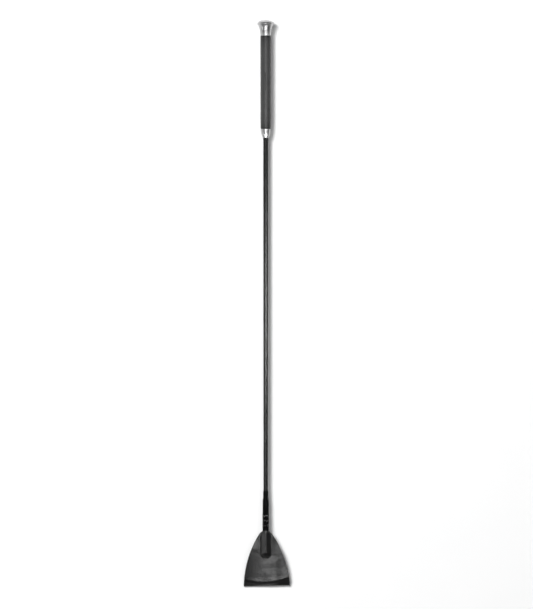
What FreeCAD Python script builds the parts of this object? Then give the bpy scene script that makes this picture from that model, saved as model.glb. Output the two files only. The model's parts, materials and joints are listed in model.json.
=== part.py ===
import FreeCAD, Part

import math
import os

import Sketcher

# A riding crop with a flared metal cap, a smooth grip, a braided shaft and a folded leather flap.
#
# It lies along Y with the cap at +Y, face up, its axis level and at the height of the cap's rim, so
# that it rests on the rim and on the flap's folded edge. The origin is on the surface below its middle.
# Each piece is drawn in the crop's own frame and then laid down by lay(): x runs across the crop, y
# up out of the flap's face, and z along the crop from the cap's crown to the flap. A station is a
# distance along z from the crown. All lengths are millimetres and all angles are degrees.

SIZES = (
    ("overall_length", 650.0),
    ("cap_length", 17.3),
    ("cap_rim_radius", 10.2),
    ("cap_crown_radius", 21.5),
    ("cap_crown_edge", 8.75),
    ("cap_roll_radius", 2.3),
    ("cap_rim_start", 3.9),
    ("cap_rim_width", 0.25),
    ("cap_flare_radius", 11.8),
    ("cap_flare_drop", 9.2),
    ("cap_flare_waist", 7.26),
    ("cap_throat_radius", 33.0),
    ("socket_end", 7.0),
    ("washer_radius", 5.9),
    ("washer_thickness", 0.7),
    ("grip_radius", 6.15),
    ("grip_length", 105.6),
    ("grip_edge", 0.3),
    ("former_radius", 4.3),
    ("end_ring_thickness", 1.1),
    ("end_ring_margin", 0.1),
    ("mark_start", 42.0),
    ("mark_offset", 0.5),
    ("mark_length", 20.0),
    ("mark_dash", 1.6),
    ("mark_width", 0.9),
    ("mark_depth", 0.25),
    ("mark_count", 7.0),
    ("ferrule_length", 10.2),
    ("ferrule_radius", 5.6),
    ("ferrule_mouth_radius", 3.5),
    ("ferrule_curve", 24.0),
    ("ferrule_seat", 3.6),
    ("ferrule_clearance", 0.02),
    ("seal_thickness", 0.55),
    ("seal_width", 0.4),
    ("shaft_radius", 2.85),
    ("shaft_tip_radius", 2.5),
    ("braid_thickness", 0.55),
    ("neck_length", 46.2),
    ("neck_bare_length", 9.3),
    ("binding_thickness", 0.37),
    ("binding_clearance", 0.06),
    ("binding_slope", 1.0),
    ("tongue_skive", 0.62),
    ("lashing_start", 26.6),
    ("lashing_pitch", 5.5),
    ("lashing_turns", 2.75),
    ("lashing_half_width", 0.62),
    ("lashing_half_depth", 0.27),
    ("lashing_clearance", 0.02),
    ("flap_length", 62.4),
    ("flap_edge_radius", 121.3),
    ("flap_edge_centre", 68.9),
    ("flap_edge_offset", 94.55),
    ("ply_thickness", 1.4),
    ("ridge_length", 24.6),
    ("ridge_half_width", 5.2),
    ("ridge_crest_half", 2.2),
    ("ridge_crest_radius", 3.9),
    ("rod_tip_reach", 26.0),
    ("tip_cap_length", 5.9),
    ("tip_cap_wall", 2.2),
    ("stitch_start", 5.2),
    ("stitch_half_width", 5.45),
    ("stitch_end", 25.95),
    ("stitch_pitch", 2.1),
    ("stitch_length", 1.75),
    ("thread_width", 0.5),
    ("stitch_outer_corner", 0.45),
    ("stitch_inner_corner", 0.15),
    ("hinge_station", 34.0),
    ("hinge_gap", 0.35),
    ("droop_radius", 64.0),
    ("lip_bend_radius", 9.0),
    ("lip_angle", 35.0),
    ("droop_share", 0.43),
    ("fold_hollow_length", 7.5),
    ("fold_hollow_half", 0.35),
)

# Stations of the joins between pieces, as expressions in the sheet's aliases.
GRIP_START = "Dims.cap_length + Dims.washer_thickness"
GRIP_END = f"{GRIP_START} + Dims.grip_length"
FERRULE_START = f"{GRIP_END} + Dims.end_ring_thickness"
FERRULE_END = f"{FERRULE_START} + Dims.ferrule_length"
BRAID_START = f"{FERRULE_START} + Dims.ferrule_seat"
SHOULDER = "Dims.overall_length - Dims.flap_length"
NECK_START = f"{SHOULDER} - Dims.neck_length"
TONGUE_START = f"{NECK_START} + Dims.neck_bare_length"
TIP = f"{SHOULDER} + Dims.rod_tip_reach"
BRAID_END = f"{TIP} - Dims.tip_cap_length"

AXIS_HEIGHT = "Dims.cap_rim_radius"
SLEEVE_RADIUS = "Dims.shaft_tip_radius + Dims.binding_clearance + Dims.tongue_skive"
BINDING_RADIUS = f"{SLEEVE_RADIUS} + Dims.binding_thickness"
ALONG_CROP = FreeCAD.Rotation(FreeCAD.Vector(1, 0, 0), 90)
HALF_TURN = FreeCAD.Rotation(FreeCAD.Vector(0, 0, 1), 180)

doc = FreeCAD.newDocument("RidingCrop")
sheet = doc.addObject("Spreadsheet::Sheet", "Dims")
for row, (alias, size) in enumerate(SIZES, start=1):
    sheet.set(f"A{row}", alias)
    sheet.set(f"B{row}", str(size))
    sheet.setAlias(f"B{row}", alias)
doc.recompute()

pieces = []


def value(expression):
    """What an expression in the sheet's aliases comes to."""
    return float(sheet.evalExpression(expression))


def shaft_radius(station):
    """The braided shaft's radius at a station: an even taper from the ferrule to the rod's tip."""
    taper = f"(Dims.shaft_radius - Dims.shaft_tip_radius) / ({BRAID_END} - ({BRAID_START}))"
    return f"Dims.shaft_radius - {taper} * ({station} - ({BRAID_START}))"


def rod_radius(station):
    return f"{shaft_radius(station)} - Dims.braid_thickness"


def flap_half_width(station):
    """Half the flap's width at a distance below its shoulder: its sides are arcs of one circle."""
    rise = f"(Dims.flap_edge_centre - ({station}))"
    return f"sqrt(Dims.flap_edge_radius^2 - {rise}^2) - Dims.flap_edge_offset"


def lay(piece, label, station, roll=None):
    """Names a piece and lays it down along -Y with its own start at a station of the crop."""
    piece.Label = label
    rotation = ALONG_CROP.multiply(roll) if roll else ALONG_CROP
    piece.Placement = FreeCAD.Placement(FreeCAD.Vector(), rotation)
    piece.setExpression("Placement.Base.y", f"Dims.overall_length / 2 - ({station})")
    piece.setExpression("Placement.Base.z", AXIS_HEIGHT)
    pieces.append(piece)


def new_sketch(body, plane, name):
    """A sketch on one of a body's own origin planes, or a loose one on the same plane when body is None."""
    if body:
        sketch = body.newObject("Sketcher::SketchObject", name)
        support = next(f for f in body.Origin.OriginFeatures if f.Role == plane)
        sketch.AttachmentSupport = [(support, "")]
        sketch.MapMode = "FlatFace"
        return sketch
    sketch = doc.addObject("Sketcher::SketchObject", name)
    turns = {"XY_Plane": (0, 0, 0), "XZ_Plane": (0, 0, 90), "YZ_Plane": (90, 0, 90)}
    sketch.Placement = FreeCAD.Placement(FreeCAD.Vector(), FreeCAD.Rotation(*turns[plane]))
    return sketch


def bind(sketch, kind, *places, expression):
    """Adds one dimension to a sketch and binds it to an expression."""
    index = sketch.addConstraint(Sketcher.Constraint(kind, *places, value(expression)))
    sketch.setExpression(f"Constraints[{index}]", expression)


def pin_point(sketch, edge, end, point):
    """Holds a point of a sketch at two expressions, or on an axis where one is "0"."""
    for kind, axis, expression in (("DistanceX", -2, point[0]), ("DistanceY", -1, point[1])):
        if expression == "0":
            sketch.addConstraint(Sketcher.Constraint("PointOnObject", edge, end, axis))
        else:
            bind(sketch, kind, -1, 1, edge, end, expression=expression)


def add_edge(sketch, start, end, bend):
    """Adds a line, or an arc of radius |bend| that bulges to the right of its way if bend is over 0.

    Returns the edge and which of its ends is the start.
    """
    if bend is None:
        return sketch.addGeometry(Part.LineSegment(start, end)), 1
    radius = abs(value(bend))
    chord = end - start
    reach = math.sqrt(max(radius**2 - chord.Length**2 / 4, 0))
    side = 1 if value(bend) > 0 else -1
    across = FreeCAD.Vector(-chord.y, chord.x, 0).normalize() * side
    centre = (start + end) / 2 + across * reach
    first, last = (start, end) if side > 0 else (end, start)
    angles = [math.atan2(p.y - centre.y, p.x - centre.x) for p in (first, last)]
    circle = Part.Circle(centre, FreeCAD.Vector(0, 0, 1), radius)
    edge = sketch.addGeometry(Part.ArcOfCircle(circle, *angles))
    bind(sketch, "Radius", edge, expression=bend.lstrip("-"))
    return edge, 1 if side > 0 else 2


def outline(sketch, points):
    """A closed outline through (x, y, bend) points, where bend belongs to the edge that leaves the point."""
    at = [FreeCAD.Vector(value(x), value(y), 0) for x, y, _ in points]
    edges = [
        add_edge(sketch, at[i], at[(i + 1) % len(at)], bend) for i, (_, _, bend) in enumerate(points)
    ]
    for i, (edge, start) in enumerate(edges):
        before, before_start = edges[i - 1]
        sketch.addConstraint(Sketcher.Constraint("Coincident", before, 3 - before_start, edge, start))
        pin_point(sketch, edge, start, points[i][:2])
    return sketch


def turned(label, station, points):
    """A body turned about the crop's axis from an outline of (radius, z, bend) points."""
    body = doc.addObject("PartDesign::Body", label)
    revolve(body, "PartDesign::Revolution", label, points)
    lay(body, label, station)
    return body


def revolve(body, kind, name, points, angle=360):
    """Adds a Revolution or a Groove about the crop's axis to a body."""
    sketch = outline(new_sketch(body, "XZ_Plane", f"{name}_profile"), points)
    feature = body.newObject(kind, f"{name}_turn")
    feature.Profile = sketch
    feature.ReferenceAxis = (sketch, ["V_Axis"])
    feature.Angle = angle
    body.Tip = feature
    return feature


def ring(label, station, length, inner, outer):
    """A straight tube or washer: two circles, padded along the crop."""
    body = doc.addObject("PartDesign::Body", label)
    sketch = new_sketch(body, "XY_Plane", f"{label}_circles")
    for radius in (inner, outer):
        circle = Part.Circle(FreeCAD.Vector(), FreeCAD.Vector(0, 0, 1), value(radius))
        edge = sketch.addGeometry(circle)
        sketch.addConstraint(Sketcher.Constraint("Coincident", edge, 3, -1, 1))
        bind(sketch, "Radius", edge, expression=radius)
    pad = body.newObject("PartDesign::Pad", f"{label}_pad")
    pad.Profile = sketch
    pad.setExpression("Length", length)
    lay(body, label, station)
    return body


def make_end_cap():
    """A turned metal pommel: a low crown rolled over to the rim, and a flare down to the grip's size."""
    crown, crown_edge = "Dims.cap_crown_radius", "Dims.cap_crown_edge"
    rim, rim_start = "Dims.cap_rim_radius", "Dims.cap_rim_start"
    socket, end = "Dims.former_radius", "Dims.cap_length"
    turned(
        "end_cap",
        "0",
        (
            ("0", "0", crown),
            (crown_edge, f"{crown} - sqrt({crown}^2 - {crown_edge}^2)", "Dims.cap_roll_radius"),
            (rim, rim_start, None),
            (rim, f"{rim_start} + Dims.cap_rim_width", "-Dims.cap_flare_radius"),
            ("Dims.cap_flare_waist", "Dims.cap_flare_drop", "-Dims.cap_throat_radius"),
            ("Dims.grip_radius", end, None),
            (socket, end, None),
            (socket, "Dims.socket_end", None),
            ("0", "Dims.socket_end", None),
        ),
    )


def make_grip_sleeve():
    """The soft sleeve, with its edges broken and a row of plain dashes pressed into its face."""
    outer, inner, length = "Dims.grip_radius", "Dims.former_radius", "Dims.grip_length"
    edge = "Dims.grip_edge"
    body = turned(
        "grip_sleeve",
        GRIP_START,
        (
            (inner, "0", None),
            (f"{outer} - {edge}", "0", None),
            (outer, edge, None),
            (outer, f"{length} - {edge}", None),
            (f"{outer} - {edge}", length, None),
            (inner, length, None),
        ),
    )
    left, right = (f"{sign}Dims.mark_width / 2 - Dims.mark_offset" for sign in ("-", ""))
    first, last = "Dims.mark_start", "Dims.mark_start + Dims.mark_dash"
    sketch = new_sketch(body, "XZ_Plane", "mark_dash")
    outline(sketch, ((left, first, None), (right, first, None), (right, last, None), (left, last, None)))
    # The sketch lies a little above the sleeve, and the pocket comes down to the mark's depth.
    clear = 1.0
    sketch.setExpression("AttachmentOffset.Base.z", f"-({outer} + {clear})")
    pocket = body.newObject("PartDesign::Pocket", "mark_pocket")
    pocket.Profile = sketch
    pocket.Reversed = True
    pocket.setExpression("Length", f"Dims.mark_depth + {clear}")
    pattern = body.newObject("PartDesign::LinearPattern", "mark_row")
    pattern.Originals = [pocket]
    pattern.Direction = (sketch, ["V_Axis"])
    pattern.setExpression("Length", "Dims.mark_length - Dims.mark_dash")
    pattern.setExpression("Occurrences", "Dims.mark_count")
    body.Tip = pattern


def make_handle():
    former = "Dims.former_radius"
    make_end_cap()
    ring("cap_washer", "Dims.cap_length", "Dims.washer_thickness", former, "Dims.washer_radius")
    make_grip_sleeve()
    former_end = f"{FERRULE_START} + Dims.ferrule_seat"
    ring(
        "grip_core_tube",
        "Dims.socket_end",
        f"{former_end} - Dims.socket_end",
        rod_radius(BRAID_START),
        former,
    )
    ring_radius = "Dims.ferrule_radius + Dims.end_ring_margin"
    ring("grip_end_ring", GRIP_END, "Dims.end_ring_thickness", former, ring_radius)


def make_ferrule():
    """A bullet-shaped metal ferrule: seated on the core tube above, and bored for the shaft below."""
    length, seat = "Dims.ferrule_length", "Dims.ferrule_seat"
    bore = f"{shaft_radius(BRAID_START)} + Dims.ferrule_clearance"
    turned(
        "ferrule",
        FERRULE_START,
        (
            ("Dims.former_radius", "0", None),
            ("Dims.ferrule_radius", "0", "Dims.ferrule_curve"),
            ("Dims.ferrule_mouth_radius", length, None),
            (bore, length, None),
            (bore, seat, None),
            ("Dims.former_radius", seat, None),
        ),
    )
    inner = f"{shaft_radius(FERRULE_END)} + Dims.ferrule_clearance"
    ring("ferrule_seal", FERRULE_END, "Dims.seal_thickness", inner, f"{inner} + Dims.seal_width")


def make_shaft():
    """The tapered glass-fibre rod, the braid over it and the cap on its tip inside the leather."""
    wall = "Dims.braid_thickness"
    tip_end = f"({TIP} - Dims.tip_cap_wall)"
    rod = doc.addObject("Part::Cone", "core_rod_cone")
    rod.setExpression("Radius1", rod_radius(BRAID_START))
    rod.setExpression("Radius2", rod_radius(BRAID_END))
    rod.setExpression("Height", f"{BRAID_END} - ({BRAID_START})")
    rod.setExpression("Placement.Base.z", BRAID_START)
    butt = doc.addObject("Part::Cylinder", "core_rod_butt")
    butt.setExpression("Radius", rod_radius(BRAID_START))
    butt.setExpression("Height", f"{BRAID_START} - Dims.socket_end")
    butt.setExpression("Placement.Base.z", "Dims.socket_end")
    end = doc.addObject("Part::Cylinder", "core_rod_end")
    end.setExpression("Radius", rod_radius(BRAID_END))
    end.setExpression("Height", f"{tip_end} - ({BRAID_END})")
    end.setExpression("Placement.Base.z", BRAID_END)
    whole = doc.addObject("Part::MultiFuse", "core_rod")
    whole.Shapes = [butt, rod, end]
    lay(whole, "core_rod", "0")

    top, bottom = shaft_radius(BRAID_START), shaft_radius(BRAID_END)
    length = f"{BRAID_END} - ({BRAID_START})"
    turned(
        "braid_cover",
        BRAID_START,
        (
            (f"{top} - {wall}", "0", None),
            (top, "0", None),
            (bottom, length, None),
            (f"{bottom} - {wall}", length, None),
        ),
    )
    outer, inner = "Dims.shaft_tip_radius", rod_radius(BRAID_END)
    reach = "Dims.tip_cap_length"
    turned(
        "rod_tip_cap",
        BRAID_END,
        (
            (inner, "0", None),
            (outer, "0", None),
            (outer, f"{reach} - {outer}", outer),
            ("0", reach, None),
            ("0", f"{reach} - Dims.tip_cap_wall", None),
            (inner, f"{reach} - Dims.tip_cap_wall", None),
        ),
    )


def make_neck_binding():
    """Fine thread wound over the shaft and then, past a short step, over the leather tongues."""
    step, length, thread = "Dims.neck_bare_length", "Dims.neck_length", "Dims.binding_thickness"
    bare = f"{shaft_radius(NECK_START)} + Dims.binding_clearance"
    slope = "Dims.binding_slope"
    turned(
        "neck_binding",
        NECK_START,
        (
            (bare, "0", None),
            (f"{bare} + {thread}", "0", None),
            (f"{bare} + {thread}", f"{step} - {slope}", None),
            (BINDING_RADIUS, f"{step} + {slope}", None),
            (BINDING_RADIUS, length, None),
            (SLEEVE_RADIUS, length, None),
            (SLEEVE_RADIUS, step, None),
            (bare, step, None),
        ),
    )


def make_lashing(label, layer, left_handed):
    """One pass of the doubled waxed thread, wound as a flat helix over the binding."""
    depth = "Dims.lashing_half_depth"
    radius = f"{BINDING_RADIUS} + {2 * layer + 1} * ({depth} + Dims.lashing_clearance)"
    helix = doc.addObject("Part::Helix", f"{label}_path")
    helix.LocalCoord = "Left-handed" if left_handed else "Right-handed"
    helix.setExpression("Radius", radius)
    helix.setExpression("Pitch", "Dims.lashing_pitch")
    helix.setExpression("Height", "Dims.lashing_pitch * Dims.lashing_turns")
    section = doc.addObject("Part::Ellipse", f"{label}_section")
    section.setExpression("MajorRadius", "Dims.lashing_half_width")
    section.setExpression("MinorRadius", depth)
    # The ellipse stands in the plane of the axis, its long side along the crop.
    section.Placement = FreeCAD.Placement(FreeCAD.Vector(), FreeCAD.Rotation(0, -90, 90))
    section.setExpression("Placement.Base.x", radius)
    sweep = doc.addObject("Part::Sweep", label)
    sweep.Sections = [section]
    sweep.Spine = (helix, ["Edge1"])
    sweep.Solid = True
    sweep.Frenet = True
    # Both passes cross on the face of the crop, three eighths of a turn short of a whole one.
    start = FreeCAD.Rotation(FreeCAD.Vector(0, 0, 1), 90 + (135 if left_handed else -135))
    lay(sweep, label, f"{NECK_START} + Dims.lashing_start", start)


def flap_plan(sketch, start, end):
    """The flap seen from its face, between two distances below its shoulder."""
    top, bottom = flap_half_width(start), flap_half_width(end)
    side = "Dims.flap_edge_radius"
    return outline(
        sketch,
        (
            (f"-({top})", start, None),
            (top, start, side),
            (bottom, end, None),
            (f"-({bottom})", end, side),
        ),
    )


def make_tongue(label, roll):
    """One leather ply's upper end: a thin half sleeve in the neck, then a flat ply with a tented ridge."""
    ply, ridge = "Dims.ply_thickness", "Dims.ridge_length"
    foot, top = "Dims.ridge_half_width", "Dims.ridge_crest_half"
    crest = "Dims.ridge_crest_radius"
    body = doc.addObject("PartDesign::Body", label)

    flat_end = "Dims.hinge_station - Dims.ply_thickness - Dims.hinge_gap"
    plan = flap_plan(new_sketch(body, "XZ_Plane", f"{label}_plan"), "0", flat_end)
    flat = body.newObject("PartDesign::Pad", f"{label}_flat")
    flat.Profile = plan
    flat.Reversed = True
    flat.setExpression("Length", ply)

    shoulder = f"sqrt({crest}^2 - {top}^2)"
    section = new_sketch(body, "XY_Plane", f"{label}_section")
    outline(
        section,
        (
            (foot, "0", None),
            (foot, ply, None),
            (top, shoulder, crest),
            (f"-{top}", shoulder, None),
            (f"-{foot}", ply, None),
            (f"-{foot}", "0", None),
        ),
    )
    tent = body.newObject("PartDesign::Pad", f"{label}_tent")
    tent.Profile = section
    tent.setExpression("Length", ridge)

    # The ridge's end is the same tent, turned about the upright line through the rod's tip.
    end_face = new_sketch(body, "XY_Plane", f"{label}_end_section")
    end_face.setExpression("AttachmentOffset.Base.z", ridge)
    outline(
        end_face,
        (
            ("0", "0", None),
            (foot, "0", None),
            (foot, ply, None),
            (top, shoulder, crest),
            ("0", crest, None),
        ),
    )
    cone = body.newObject("PartDesign::Revolution", f"{label}_end")
    cone.Profile = end_face
    cone.ReferenceAxis = (end_face, ["V_Axis"])
    cone.Angle = 180
    cone.Reversed = True

    # The sleeve is drawn solid from well inside the shaft, runs a little into the flat ply, and is
    # bored together with it.
    neck = f"({SHOULDER}) - ({TONGUE_START})"
    inside, run_in = "0.5 * Dims.shaft_tip_radius", "0.5"
    revolve(
        body,
        "PartDesign::Revolution",
        f"{label}_sleeve",
        (
            (inside, f"-({neck})", None),
            (SLEEVE_RADIUS, f"-({neck})", None),
            (SLEEVE_RADIUS, run_in, None),
            (inside, run_in, None),
        ),
        angle=180,
    )
    mouth = f"-({neck}) - 1"
    before = shaft_radius(TONGUE_START)
    after = shaft_radius(BRAID_END)
    braid_end = f"({BRAID_END}) - ({SHOULDER})"
    reach, tip = "Dims.tip_cap_length", "Dims.shaft_tip_radius"
    revolve(
        body,
        "PartDesign::Groove",
        f"{label}_bore",
        (
            ("0", mouth, None),
            (before, mouth, None),
            (before, f"-({neck})", None),
            (after, braid_end, None),
            (tip, f"{braid_end} + {reach} - {tip}", tip),
            ("0", f"{braid_end} + {reach}", None),
        ),
    )
    lay(body, label, SHOULDER, roll)


def extruded(base, direction, length):
    """A loose outline, extruded evenly to both sides of its plane."""
    solid = doc.addObject("Part::Extrusion", f"{base.Name}_solid")
    solid.Base = base
    solid.DirMode = "Custom"
    solid.Dir = direction
    solid.Solid = True
    solid.Symmetric = True
    solid.setExpression("LengthFwd", length)
    return solid


def make_flap_blade():
    """The flap below the hinge line: one leather, folded at the bottom edge, drooping and then bent down."""
    ply = "Dims.ply_thickness"
    fold = ("Dims.ply_thickness - Dims.cap_rim_radius", "Dims.flap_length - Dims.ply_thickness")
    hinge = "Dims.hinge_station"
    spare = 2

    # Side view of the middle of the leather: an easy droop, a tighter bend and a straight lip.
    line = new_sketch(None, "YZ_Plane", "blade_line")
    droop, bend, lip = (value(f"Dims.{name}") for name in ("droop_radius", "lip_bend_radius", "lip_angle"))
    low, far, near = value(fold[0]), value(fold[1]), value(hinge)
    droop_turn = lip * value("Dims.droop_share")
    centre = FreeCAD.Vector(-droop, near, 0)
    lean = FreeCAD.Vector(math.cos(math.radians(droop_turn)), math.sin(math.radians(droop_turn)), 0)
    knee = centre + lean * droop
    bend_centre = knee - lean * bend
    slope = FreeCAD.Vector(-math.sin(math.radians(lip)), math.cos(math.radians(lip)), 0)
    brow = bend_centre + FreeCAD.Vector(slope.y, -slope.x, 0) * bend
    up = FreeCAD.Vector(0, 0, 1)
    turn, full = math.radians(droop_turn), math.radians(lip)
    first = line.addGeometry(Part.ArcOfCircle(Part.Circle(centre, up, droop), 0, turn))
    second = line.addGeometry(Part.ArcOfCircle(Part.Circle(bend_centre, up, bend), turn, full))
    third = line.addGeometry(Part.LineSegment(brow, FreeCAD.Vector(low, far, 0)))
    pin_point(line, first, 1, ("0", hinge))
    bind(line, "DistanceY", -1, 1, first, 3, expression=hinge)
    bind(line, "Radius", first, expression="Dims.droop_radius")
    line.addConstraint(Sketcher.Constraint("Tangent", first, 2, second, 1))
    bind(line, "Radius", second, expression="Dims.lip_bend_radius")
    line.addConstraint(Sketcher.Constraint("Tangent", second, 2, third, 1))
    pin_point(line, third, 2, fold)
    angle = line.addConstraint(Sketcher.Constraint("Angle", -2, third, math.radians(lip)))
    line.setExpression(f"Constraints[{angle}]", "Dims.lip_angle * 1 deg")
    doc.recompute()

    side = doc.addObject("Part::Offset2D", "blade_side")
    side.Source = line
    side.Mode = "Pipe"
    side.Join = "Arc"
    side.Fill = True
    side.setExpression("Value", ply)
    plan = flap_plan(new_sketch(None, "XZ_Plane", "blade_plan"), f"{hinge} - {spare}", "Dims.flap_length")
    width, height = "3 * Dims.cap_rim_radius + Dims.flap_length", "4 * Dims.cap_rim_radius"
    leather = doc.addObject("Part::Common", "blade_leather")
    leather.Base = extruded(side, FreeCAD.Vector(1, 0, 0), width)
    leather.Tool = extruded(plan, FreeCAD.Vector(0, 1, 0), height)

    # The two plies part a little where the leather turns back: a slim drop, drawn point down and tipped
    # to the lip's slope, with its round end at the middle of the fold.
    hollow = new_sketch(None, "YZ_Plane", "fold_hollow")
    half = "Dims.fold_hollow_half"
    outline(
        hollow,
        (
            ("0", "-Dims.fold_hollow_length", None),
            (half, "0", half),
            ("0", half, half),
            (f"-{half}", "0", None),
        ),
    )
    tip = FreeCAD.Rotation(FreeCAD.Vector(0, 0, 1), lip)
    hollow.Placement = FreeCAD.Placement(FreeCAD.Vector(), hollow.Placement.Rotation.multiply(tip))
    hollow.setExpression("Placement.Base.y", fold[0])
    hollow.setExpression("Placement.Base.z", fold[1])
    blade = doc.addObject("Part::Cut", "flap_blade")
    blade.Base = leather
    blade.Tool = extruded(hollow, FreeCAD.Vector(1, 0, 0), width)
    lay(blade, "flap_blade", SHOULDER)


def stitch_ring(length, height, thread):
    """One lock stitch: a round-cornered ring of thread through both plies, centred on the origin."""

    def loop(half_length, half_height, corner):
        box = Part.makePlane(
            2 * half_length, 2 * half_height, FreeCAD.Vector(-half_length, -half_height, -thread / 2)
        )
        solid = box.extrude(FreeCAD.Vector(0, 0, thread))
        upright = [e for e in solid.Edges if abs(e.tangentAt(e.FirstParameter).z) > 0.9]
        return solid.makeFillet(corner, upright)

    outer = loop(length / 2, height / 2, value("Dims.stitch_outer_corner"))
    inner = loop(length / 2 - thread, height / 2 - thread, value("Dims.stitch_inner_corner"))
    return outer.cut(inner)


def make_pocket_stitching():
    """The U of stitches round the rod's pocket: down one side, round the end and up the other."""
    half, start = value("Dims.stitch_half_width"), value("Dims.stitch_start")
    end, pitch, thread = (value(f"Dims.{name}") for name in ("stitch_end", "stitch_pitch", "thread_width"))
    leg = end - start
    total = 2 * leg + math.pi * half
    count = round(total / pitch)
    height = 2 * value("Dims.ply_thickness") + thread
    ring_shape = stitch_ring(value("Dims.stitch_length"), height, thread)
    stitches = []
    for i in range(count):
        along = (i + 0.5) * total / count
        if along < leg:
            x, z, heading = -half, start + along, 90.0
        elif along > total - leg:
            x, z, heading = half, start + total - along, 90.0
        else:
            swept = (along - leg) / half
            x, z, heading = -half * math.cos(swept), end + half * math.sin(swept), 90 - math.degrees(swept)
        # The ring's length lies along x and its height along y, so one turn about y points it.
        turn = FreeCAD.Rotation(FreeCAD.Vector(0, 1, 0), -heading)
        stitch = ring_shape.copy()
        stitch.Placement = FreeCAD.Placement(FreeCAD.Vector(x, 0, z), turn)
        stitches.append(stitch)
    group = doc.addObject("Part::Feature", "pocket_stitching")
    group.Shape = Part.makeCompound(stitches)
    lay(group, "pocket_stitching", SHOULDER)


make_handle()
make_ferrule()
make_shaft()
make_neck_binding()
make_lashing("lashing_down_pass", 0, left_handed=False)
make_lashing("lashing_return_pass", 1, left_handed=True)
make_tongue("flap_front_tongue", None)
make_tongue("flap_back_tongue", HALF_TURN)
make_flap_blade()
make_pocket_stitching()
doc.recompute()

failed = [o.Name for o in doc.Objects if {"Invalid", "Error"} & set(o.State)]
bad = [p.Label for p in pieces if p.Shape.isNull() or not p.Shape.isValid() or not p.Shape.Solids]
if failed or bad:
    raise RuntimeError(f"objects that failed: {failed}; pieces with no sound shape: {bad}")

os.makedirs("parts", exist_ok=True)
for piece in pieces:
    piece.Shape.exportStep(f"parts/{piece.Label}.step")
    print(f"{piece.Label}: {len(piece.Shape.Solids)} solid(s), {piece.Shape.Volume:.1f} mm3")
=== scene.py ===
"""A riding crop lying face up on a pale studio floor, built round its CAD frame.

The crop lies along Y with its metal cap at +Y and its folded leather flap at -Y. Its pieces are drawn
in the crop's own frame, in millimetres: x across, h up from the shaft's axis and s along the crop from
the cap's crown to the flap. lay() turns those into the frame's metres.
"""

import json
import math

import bpy
import numpy as np
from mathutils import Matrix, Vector


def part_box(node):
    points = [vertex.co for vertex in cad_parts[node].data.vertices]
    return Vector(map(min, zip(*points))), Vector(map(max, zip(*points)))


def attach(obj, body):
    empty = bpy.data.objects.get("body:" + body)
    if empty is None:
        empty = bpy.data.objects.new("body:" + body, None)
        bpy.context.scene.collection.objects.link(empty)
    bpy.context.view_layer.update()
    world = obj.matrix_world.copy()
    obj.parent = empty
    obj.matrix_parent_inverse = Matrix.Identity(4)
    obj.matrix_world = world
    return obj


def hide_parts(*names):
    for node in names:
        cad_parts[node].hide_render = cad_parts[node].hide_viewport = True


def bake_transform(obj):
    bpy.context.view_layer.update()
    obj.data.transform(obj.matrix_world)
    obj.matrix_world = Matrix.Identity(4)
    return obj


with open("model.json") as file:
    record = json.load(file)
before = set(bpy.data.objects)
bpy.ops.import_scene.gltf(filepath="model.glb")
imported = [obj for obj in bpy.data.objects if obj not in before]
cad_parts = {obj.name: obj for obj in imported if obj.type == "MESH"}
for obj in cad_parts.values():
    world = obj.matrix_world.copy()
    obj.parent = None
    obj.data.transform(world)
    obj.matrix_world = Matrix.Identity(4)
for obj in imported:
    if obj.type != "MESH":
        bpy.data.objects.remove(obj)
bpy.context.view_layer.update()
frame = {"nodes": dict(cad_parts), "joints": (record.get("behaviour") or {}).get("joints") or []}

MM = 0.001
TURN = 2 * math.pi


# ---- Places, read from the frame ----

def span(node):
    """(first station, last station, outer radius) of a node, in millimetres."""
    low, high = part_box(node)
    return (CROWN_Y - high.y) / MM, (CROWN_Y - low.y) / MM, (high.z - low.z) / 2 / MM


CAP_LOW, CAP_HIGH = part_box("end_cap")
CROWN_Y = CAP_HIGH.y
AXIS_Z = (CAP_LOW.z + CAP_HIGH.z) / 2

CAP_END = span("end_cap")[1]
WASHER_START, WASHER_END, WASHER_R = span("cap_washer")
GRIP_START, GRIP_END, GRIP_R = span("grip_sleeve")
RING_START, RING_END, RING_R = span("grip_end_ring")
FERRULE_START, FERRULE_END, FERRULE_R = span("ferrule")
# The ferrule_seal node's place holds a black ring that is painted shade at the ferrule's mouth.
SHADE_RING_START, SHADE_RING_END, SHADE_RING_R = span("ferrule_seal")
BRAID_START, BRAID_END, SHAFT_R = span("braid_cover")
FORMER_R = span("grip_core_tube")[2]
ROD_TIP_R = span("rod_tip_cap")[2]
NECK_START, SHOULDER, NECK_R = span("neck_binding")
TONGUE_START = span("flap_front_tongue")[0]
LASH_START, LASH_END, _ = span("lashing_down_pass")
FLAP_END = span("flap_blade")[1]
FLAP_STRETCH = 1.0
FLAP_LENGTH = FLAP_END - SHOULDER + FLAP_STRETCH
WIDEST = (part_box("flap_blade")[1].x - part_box("flap_blade")[0].x) / 2 / MM
HINGE = (CROWN_Y - frame["joints"][0]["pos_m"][1]) / MM - SHOULDER


def lay(points):
    """Turns rows of (x, h, s) in millimetres into the frame's metres."""
    p = np.asarray(points, float)
    return np.stack([p[:, 0] * MM, CROWN_Y - p[:, 2] * MM, AXIS_Z + p[:, 1] * MM], axis=1)


def smooth(t):
    """An even ease from 0 to 1 as t goes from 0 to 1."""
    t = np.clip(t, 0, 1)
    return t * t * (3 - 2 * t)


def bell(distance, width):
    """1 at no distance, and an even fade to about 0 at twice the width."""
    return np.exp(-((distance / width) ** 2))


def shaft_radius(s):
    """The braided shaft's outer radius at a station."""
    return SHAFT_R + (ROD_TIP_R - SHAFT_R) * (s - BRAID_START) / (BRAID_END - BRAID_START)


# ---- Meshes ----

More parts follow.
